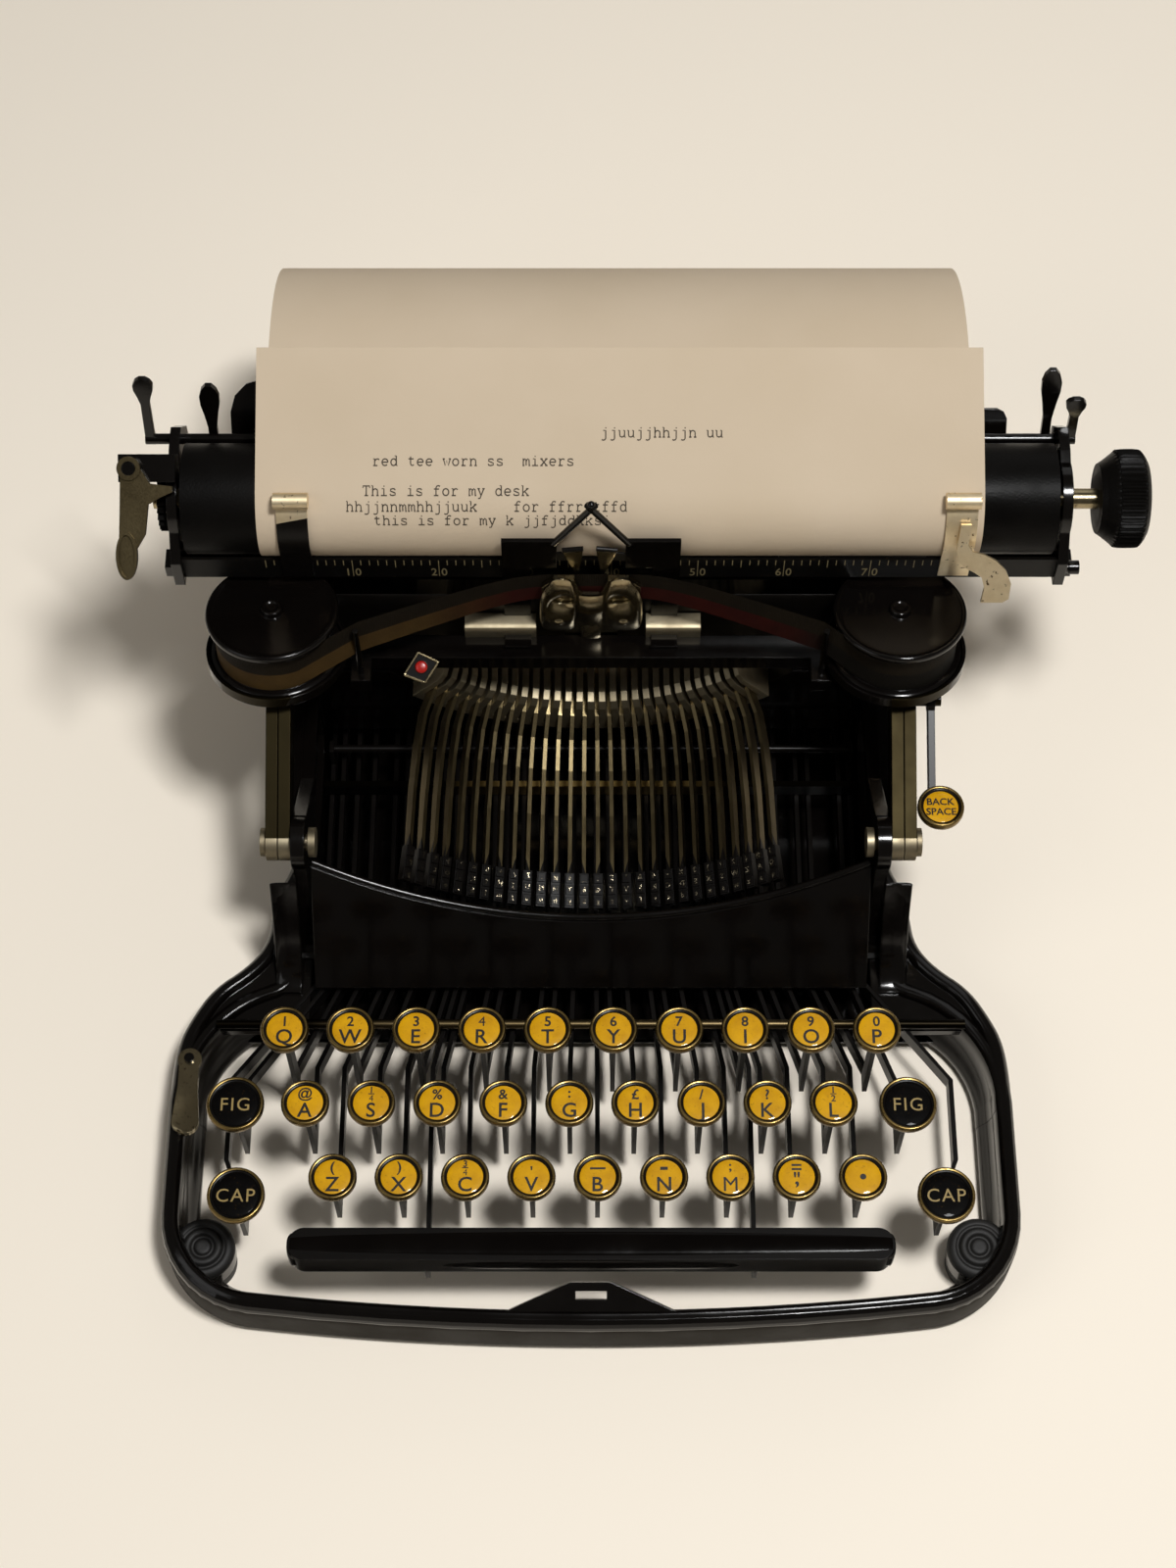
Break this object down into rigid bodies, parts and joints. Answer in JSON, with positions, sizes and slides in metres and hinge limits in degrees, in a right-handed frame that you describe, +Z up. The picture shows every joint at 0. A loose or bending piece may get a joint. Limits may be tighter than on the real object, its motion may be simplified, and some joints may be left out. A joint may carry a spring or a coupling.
{
  "type": "folding portable typewriter",
  "caption": "Folding three-bank portable typewriter: bow-shaped keyboard base, type basket, and a ribbon frame and carriage with platen and sheet that fold forward over the keys.",
  "frame": {"origin": "on the table under the middle of the whole outline, paper included", "axes": "+X to the typist's right along the carriage, +Y from the typist to the back, +Z up"},
  "size_m": [0.2995, 0.3458, 0.1525],
  "materials": {
    "japanned_iron": "gloss black japan",
    "gloss_panel": "gloss black enamel",
    "foot_rubber": "aged soft rubber",
    "bright_steel": "dull bright steel",
    "nickel": "worn nickel plate",
    "platen_rubber": "hard black rubber",
    "cloth_ribbon": "inked cotton ribbon",
    "paper": "plain typing paper",
    "key_steel": "black lever, nickelled ring, cream disc under glass",
    "black_key": "black lever and black key top"
  },
  "bodies": {
    "base": {"base_frame": "japanned_iron", "front_panel": "gloss_panel", "rubber_feet": "foot_rubber", "type_segment": "bright_steel", "typebars": "bright_steel", "fulcrum_rod": "bright_steel", "lever_comb": "nickel", "universal_bar": "nickel", "hinge_pins": "nickel"},
    "folding_frame": {"upper_frame": "japanned_iron", "card_holder": "japanned_iron", "ribbon": "cloth_ribbon"},
    "shift_bed": {"rail_bed": "japanned_iron"},
    "drum": {"spring_drum": "bright_steel"},
    "carriage": {"carriage_frame": "japanned_iron", "platen_scale": "gloss_panel", "paper_table": "japanned_iron", "paper": "paper", "paper_fingers": "nickel"},
    "platen_roller": {"platen": "platen_rubber"},
    "feed": {"feed_rollers": "platen_rubber"},
    "space_lever": {"line_space_lever": "nickel"},
    "release": {"carriage_release": "japanned_iron"},
    "paper_freer": {"paper_release": "japanned_iron"},
    "left_spool": {"spool_left": "japanned_iron"},
    "right_spool": {"spool_right": "japanned_iron"},
    "vibrator": {"ribbon_vibrator": "nickel"},
    "b_key_z": {"key_z": "key_steel"},
    "b_key_x": {"key_x": "key_steel"},
    "b_key_c": {"key_c": "key_steel"},
    "b_key_v": {"key_v": "key_steel"},
    "b_key_b": {"key_b": "key_steel"},
    "b_key_n": {"key_n": "key_steel"},
    "b_key_m": {"key_m": "key_steel"},
    "b_key_comma": {"key_comma": "key_steel"},
    "b_key_period": {"key_period": "key_steel"},
    "b_key_a": {"key_a": "key_steel"},
    "b_key_s": {"key_s": "key_steel"},
    "b_key_d": {"key_d": "key_steel"},
    "b_key_f": {"key_f": "key_steel"},
    "b_key_g": {"key_g": "key_steel"},
    "b_key_h": {"key_h": "key_steel"},
    "b_key_j": {"key_j": "key_steel"},
    "b_key_k": {"key_k": "key_steel"},
    "b_key_l": {"key_l": "key_steel"},
    "b_key_q": {"key_q": "key_steel"},
    "b_key_w": {"key_w": "key_steel"},
    "b_key_e": {"key_e": "key_steel"},
    "b_key_r": {"key_r": "key_steel"},
    "b_key_t": {"key_t": "key_steel"},
    "b_key_y": {"key_y": "key_steel"},
    "b_key_u": {"key_u": "key_steel"},
    "b_key_i": {"key_i": "key_steel"},
    "b_key_o": {"key_o": "key_steel"},
    "b_key_p": {"key_p": "key_steel"},
    "b_space_bar": {"space_bar": "black_key"},
    "b_fig_shift": {"fig_shift_keys": "black_key"},
    "b_cap_shift": {"cap_shift_keys": "black_key"},
    "b_backspace": {"backspace_key": "key_steel"},
    "b_shift_lock": {"shift_lock": "nickel"}
  },
  "joints": [
    {"name": "fold", "type": "hinge", "parent": "base", "child": "folding_frame", "pos_m": [-0.0126, -0.0371, 0.062], "axis": [1, 0, 0], "range_deg": [0, 120]},
    {"name": "platen_shift", "type": "slide", "parent": "folding_frame", "child": "shift_bed", "axis": [0, 0, 1], "range_m": [0, 0.0065]},
    {"name": "drum_turn", "type": "hinge", "parent": "shift_bed", "child": "drum", "pos_m": [-0.0626, 0.05735, 0.074], "axis": [0, 0, 1], "range_deg": [-360, 360]},
    {"name": "carriage_travel", "type": "slide", "parent": "shift_bed", "child": "carriage", "axis": [1, 0, 0], "range_m": [-0.075, 0.085]},
    {"name": "platen_turn", "type": "hinge", "parent": "carriage", "child": "platen_roller", "pos_m": [-0.0126, 0.0461, 0.121], "axis": [1, 0, 0], "continuous": true},
    {"name": "feed_turn", "type": "hinge", "parent": "carriage", "child": "feed", "pos_m": [-0.0126, 0.04316, 0.1001], "axis": [1, 0, 0], "continuous": true},
    {"name": "line_space", "type": "hinge", "parent": "carriage", "child": "space_lever", "pos_m": [-0.14565, 0.0455, 0.1375], "axis": [0, -0.5878, 0.809], "range_deg": [0, 20], "stiffness_Nm_per_rad": 0.05, "springref_deg": -5.73},
    {"name": "carriage_release_turn", "type": "hinge", "parent": "carriage", "child": "release", "pos_m": [-0.0126, 0.0646, 0.125], "axis": [1, 0, 0], "range_deg": [0, 12], "stiffness_Nm_per_rad": 0.2, "springref_deg": -11.46},
    {"name": "paper_release_turn", "type": "hinge", "parent": "carriage", "child": "paper_freer", "pos_m": [-0.0126, 0.0631, 0.103], "axis": [1, 0, 0], "range_deg": [-12, 0], "stiffness_Nm_per_rad": 0.2, "springref_deg": 11.46},
    {"name": "left_spool_turn", "type": "hinge", "parent": "folding_frame", "child": "left_spool", "pos_m": [-0.1066, 0.0184, 0.104], "axis": [0, 0.1908, 0.9816], "continuous": true},
    {"name": "right_spool_turn", "type": "hinge", "parent": "folding_frame", "child": "right_spool", "pos_m": [0.0784, 0.0184, 0.104], "axis": [0, 0.1908, 0.9816], "continuous": true},
    {"name": "vibrator_lift", "type": "slide", "parent": "folding_frame", "child": "vibrator", "axis": [0, 0, 1], "range_m": [0, 0.009], "stiffness_N_per_m": 20, "springref_m": -0.004, "deforming": ["ribbon"]},
    {"name": "key_z_press", "type": "hinge", "parent": "base", "child": "b_key_z", "pos_m": [-0.0748, 0.0419, 0.017], "axis": [1, 0, 0], "range_deg": [0, 3.5], "stiffness_Nm_per_rad": 0.15, "springref_deg": -20.05},
    {"name": "key_x_press", "type": "hinge", "parent": "base", "child": "b_key_x", "pos_m": [-0.05885, 0.0419, 0.017], "axis": [1, 0, 0], "range_deg": [0, 3.5], "stiffness_Nm_per_rad": 0.15, "springref_deg": -20.05},
    {"name": "key_c_press", "type": "hinge", "parent": "base", "child": "b_key_c", "pos_m": [-0.0429, 0.0419, 0.017], "axis": [1, 0, 0], "range_deg": [0, 3.5], "stiffness_Nm_per_rad": 0.15, "springref_deg": -20.05},
    {"name": "key_v_press", "type": "hinge", "parent": "base", "child": "b_key_v", "pos_m": [-0.02695, 0.0419, 0.017], "axis": [1, 0, 0], "range_deg": [0, 3.5], "stiffness_Nm_per_rad": 0.15, "springref_deg": -20.05},
    {"name": "key_b_press", "type": "hinge", "parent": "base", "child": "b_key_b", "pos_m": [-0.011, 0.0419, 0.017], "axis": [1, 0, 0], "range_deg": [0, 3.5], "stiffness_Nm_per_rad": 0.15, "springref_deg": -20.05},
    {"name": "key_n_press", "type": "hinge", "parent": "base", "child": "b_key_n", "pos_m": [0.00494, 0.0419, 0.017], "axis": [1, 0, 0], "range_deg": [0, 3.5], "stiffness_Nm_per_rad": 0.15, "springref_deg": -20.05},
    {"name": "key_m_press", "type": "hinge", "parent": "base", "child": "b_key_m", "pos_m": [0.02089, 0.0419, 0.017], "axis": [1, 0, 0], "range_deg": [0, 3.5], "stiffness_Nm_per_rad": 0.15, "springref_deg": -20.05},
    {"name": "key_comma_press", "type": "hinge", "parent": "base", "child": "b_key_comma", "pos_m": [0.03684, 0.0419, 0.017], "axis": [1, 0, 0], "range_deg": [0, 3.5], "stiffness_Nm_per_rad": 0.15, "springref_deg": -20.05},
    {"name": "key_period_press", "type": "hinge", "parent": "base", "child": "b_key_period", "pos_m": [0.05279, 0.0419, 0.017], "axis": [1, 0, 0], "range_deg": [0, 3.5], "stiffness_Nm_per_rad": 0.15, "springref_deg": -20.05},
    {"name": "key_a_press", "type": "hinge", "parent": "base", "child": "b_key_a", "pos_m": [-0.08166, 0.0419, 0.017], "axis": [1, 0, 0], "range_deg": [0, 3.5], "stiffness_Nm_per_rad": 0.15, "springref_deg": -20.05},
    {"name": "key_s_press", "type": "hinge", "parent": "base", "child": "b_key_s", "pos_m": [-0.06571, 0.0419, 0.017], "axis": [1, 0, 0], "range_deg": [0, 3.5], "stiffness_Nm_per_rad": 0.15, "springref_deg": -20.05},
    {"name": "key_d_press", "type": "hinge", "parent": "base", "child": "b_key_d", "pos_m": [-0.04976, 0.0419, 0.017], "axis": [1, 0, 0], "range_deg": [0, 3.5], "stiffness_Nm_per_rad": 0.15, "springref_deg": -20.05},
    {"name": "key_f_press", "type": "hinge", "parent": "base", "child": "b_key_f", "pos_m": [-0.03381, 0.0419, 0.017], "axis": [1, 0, 0], "range_deg": [0, 3.5], "stiffness_Nm_per_rad": 0.15, "springref_deg": -20.05},
    {"name": "key_g_press", "type": "hinge", "parent": "base", "child": "b_key_g", "pos_m": [-0.01786, 0.0419, 0.017], "axis": [1, 0, 0], "range_deg": [0, 3.5], "stiffness_Nm_per_rad": 0.15, "springref_deg": -20.05},
    {"name": "key_h_press", "type": "hinge", "parent": "base", "child": "b_key_h", "pos_m": [-0.00192, 0.0419, 0.017], "axis": [1, 0, 0], "range_deg": [0, 3.5], "stiffness_Nm_per_rad": 0.15, "springref_deg": -20.05},
    {"name": "key_j_press", "type": "hinge", "parent": "base", "child": "b_key_j", "pos_m": [0.01403, 0.0419, 0.017], "axis": [1, 0, 0], "range_deg": [0, 3.5], "stiffness_Nm_per_rad": 0.15, "springref_deg": -20.05},
    {"name": "key_k_press", "type": "hinge", "parent": "base", "child": "b_key_k", "pos_m": [0.02998, 0.0419, 0.017], "axis": [1, 0, 0], "range_deg": [0, 3.5], "stiffness_Nm_per_rad": 0.15, "springref_deg": -20.05},
    {"name": "key_l_press", "type": "hinge", "parent": "base", "child": "b_key_l", "pos_m": [0.04593, 0.0419, 0.017], "axis": [1, 0, 0], "range_deg": [0, 3.5], "stiffness_Nm_per_rad": 0.15, "springref_deg": -20.05},
    {"name": "key_q_press", "type": "hinge", "parent": "base", "child": "b_key_q", "pos_m": [-0.08692, 0.0419, 0.017], "axis": [1, 0, 0], "range_deg": [0, 3.5], "stiffness_Nm_per_rad": 0.15, "springref_deg": -20.05},
    {"name": "key_w_press", "type": "hinge", "parent": "base", "child": "b_key_w", "pos_m": [-0.07097, 0.0419, 0.017], "axis": [1, 0, 0], "range_deg": [0, 3.5], "stiffness_Nm_per_rad": 0.15, "springref_deg": -20.05},
    {"name": "key_e_press", "type": "hinge", "parent": "base", "child": "b_key_e", "pos_m": [-0.05502, 0.0419, 0.017], "axis": [1, 0, 0], "range_deg": [0, 3.5], "stiffness_Nm_per_rad": 0.15, "springref_deg": -20.05},
    {"name": "key_r_press", "type": "hinge", "parent": "base", "child": "b_key_r", "pos_m": [-0.03907, 0.0419, 0.017], "axis": [1, 0, 0], "range_deg": [0, 3.5], "stiffness_Nm_per_rad": 0.15, "springref_deg": -20.05},
    {"name": "key_t_press", "type": "hinge", "parent": "base", "child": "b_key_t", "pos_m": [-0.02313, 0.0419, 0.017], "axis": [1, 0, 0], "range_deg": [0, 3.5], "stiffness_Nm_per_rad": 0.15, "springref_deg": -20.05},
    {"name": "key_y_press", "type": "hinge", "parent": "base", "child": "b_key_y", "pos_m": [-0.00718, 0.0419, 0.017], "axis": [1, 0, 0], "range_deg": [0, 3.5], "stiffness_Nm_per_rad": 0.15, "springref_deg": -20.05},
    {"name": "key_u_press", "type": "hinge", "parent": "base", "child": "b_key_u", "pos_m": [0.00877, 0.0419, 0.017], "axis": [1, 0, 0], "range_deg": [0, 3.5], "stiffness_Nm_per_rad": 0.15, "springref_deg": -20.05},
    {"name": "key_i_press", "type": "hinge", "parent": "base", "child": "b_key_i", "pos_m": [0.02472, 0.0419, 0.017], "axis": [1, 0, 0], "range_deg": [0, 3.5], "stiffness_Nm_per_rad": 0.15, "springref_deg": -20.05},
    {"name": "key_o_press", "type": "hinge", "parent": "base", "child": "b_key_o", "pos_m": [0.04067, 0.0419, 0.017], "axis": [1, 0, 0], "range_deg": [0, 3.5], "stiffness_Nm_per_rad": 0.15, "springref_deg": -20.05},
    {"name": "key_p_press", "type": "hinge", "parent": "base", "child": "b_key_p", "pos_m": [0.05662, 0.0419, 0.017], "axis": [1, 0, 0], "range_deg": [0, 3.5], "stiffness_Nm_per_rad": 0.15, "springref_deg": -20.05},
    {"name": "space_press", "type": "hinge", "parent": "base", "child": "b_space_bar", "pos_m": [-0.0126, 0.0419, 0.017], "axis": [1, 0, 0], "range_deg": [0, 3], "stiffness_Nm_per_rad": 0.6, "springref_deg": -34.38},
    {"name": "fig_press", "type": "hinge", "parent": "base", "child": "b_fig_shift", "pos_m": [-0.0126, 0.0419, 0.017], "axis": [1, 0, 0], "range_deg": [0, 3.2], "stiffness_Nm_per_rad": 0.3, "springref_deg": -22.92},
    {"name": "cap_press", "type": "hinge", "parent": "base", "child": "b_cap_shift", "pos_m": [-0.0126, 0.0419, 0.017], "axis": [1, 0, 0], "range_deg": [0, 3.2]},
    {"name": "backspace_press", "type": "hinge", "parent": "folding_frame", "child": "b_backspace", "pos_m": [0.0884, 0.0019, 0.0795], "axis": [1, 0, 0], "range_deg": [0, 8], "stiffness_Nm_per_rad": 0.05, "springref_deg": -17.19},
    {"name": "shift_lock_turn", "type": "hinge", "parent": "base", "child": "b_shift_lock", "pos_m": [-0.13369, -0.09071, 0.022], "axis": [0, 0, 1], "range_deg": [0, 12]}
  ],
  "couplings": [
    {"joint": "cap_press", "follows": "platen_shift", "rad_per_m": 8.4581},
    {"joint": "feed_turn", "follows": "platen_turn", "ratio": -4.1625},
    {"joint": "drum_turn", "follows": "carriage_travel", "rad_per_m": 66.667},
    {"joint": "right_spool_turn", "follows": "left_spool_turn", "ratio": 1}
  ]
}
